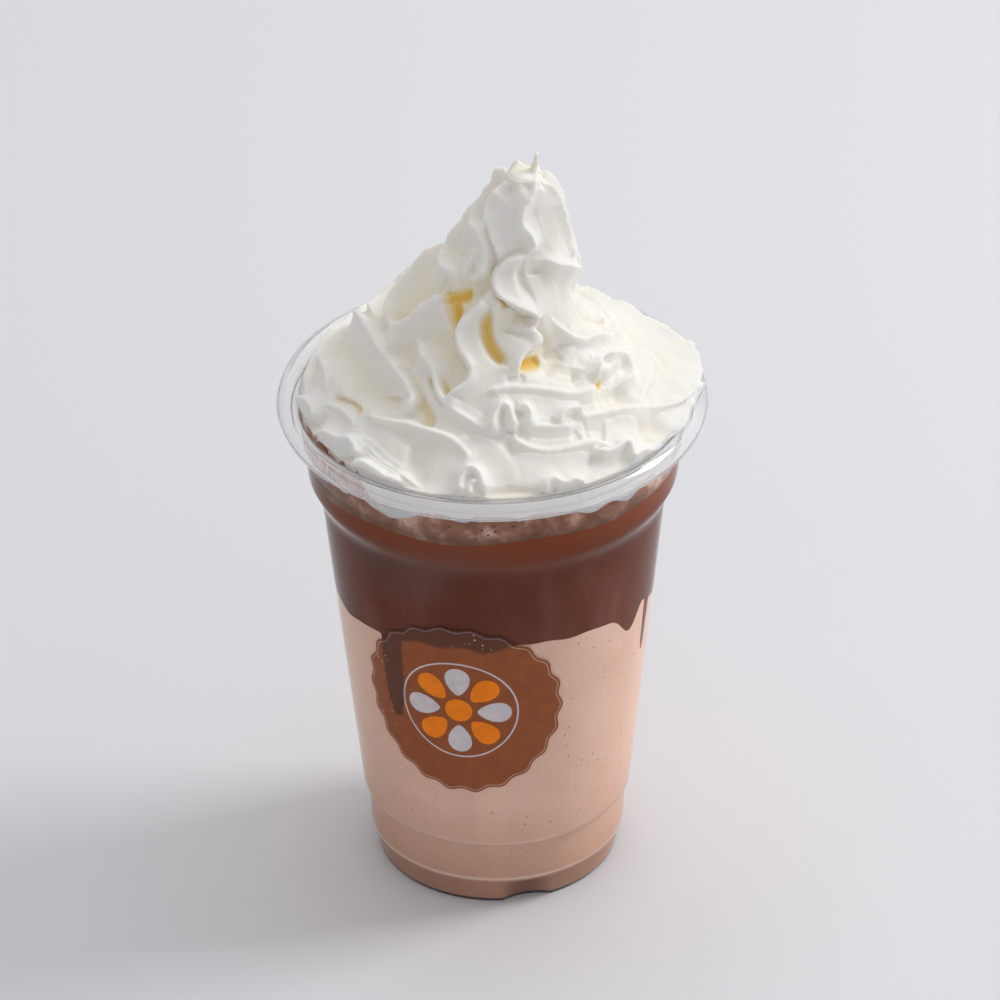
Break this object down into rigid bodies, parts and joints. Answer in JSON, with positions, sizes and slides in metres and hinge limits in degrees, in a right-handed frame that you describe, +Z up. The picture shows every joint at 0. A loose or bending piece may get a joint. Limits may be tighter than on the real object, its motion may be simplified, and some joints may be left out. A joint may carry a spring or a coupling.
{
  "type": "blended coffee drink in a clear takeaway cup",
  "caption": "Blended coffee drink in a clear flared cup with a rolled rim, a dark chocolate band, a tall swirl of whipped cream and a scalloped round sticker.",
  "frame": {"origin": "middle of the cup's foot, on the surface it stands on", "axes": "+Z up along the cup's axis; -Y points to the front, where the sticker faces a little to the left"},
  "size_m": [0.098, 0.098, 0.1875],
  "materials": {
    "clear_plastic": "clear, thin and glossy, moulded with a rolled rim",
    "coffee": "pale milky coffee with fine ice, opaque behind the clear wall",
    "sauce": "dark chocolate sauce, streaked where it mixes with the drink",
    "foam": "pale brown foam with dark specks",
    "cream": "satin whipped cream with warm, translucent folds",
    "sticker": "thin coated sticker, brown with a plain orange and white rosette"
  },
  "bodies": {
    "root": {"cup": "clear_plastic", "frappe": "coffee", "chocolate": "sauce", "foam": "foam", "cream": "cream", "label": "sticker"}
  },
  "joints": []
}
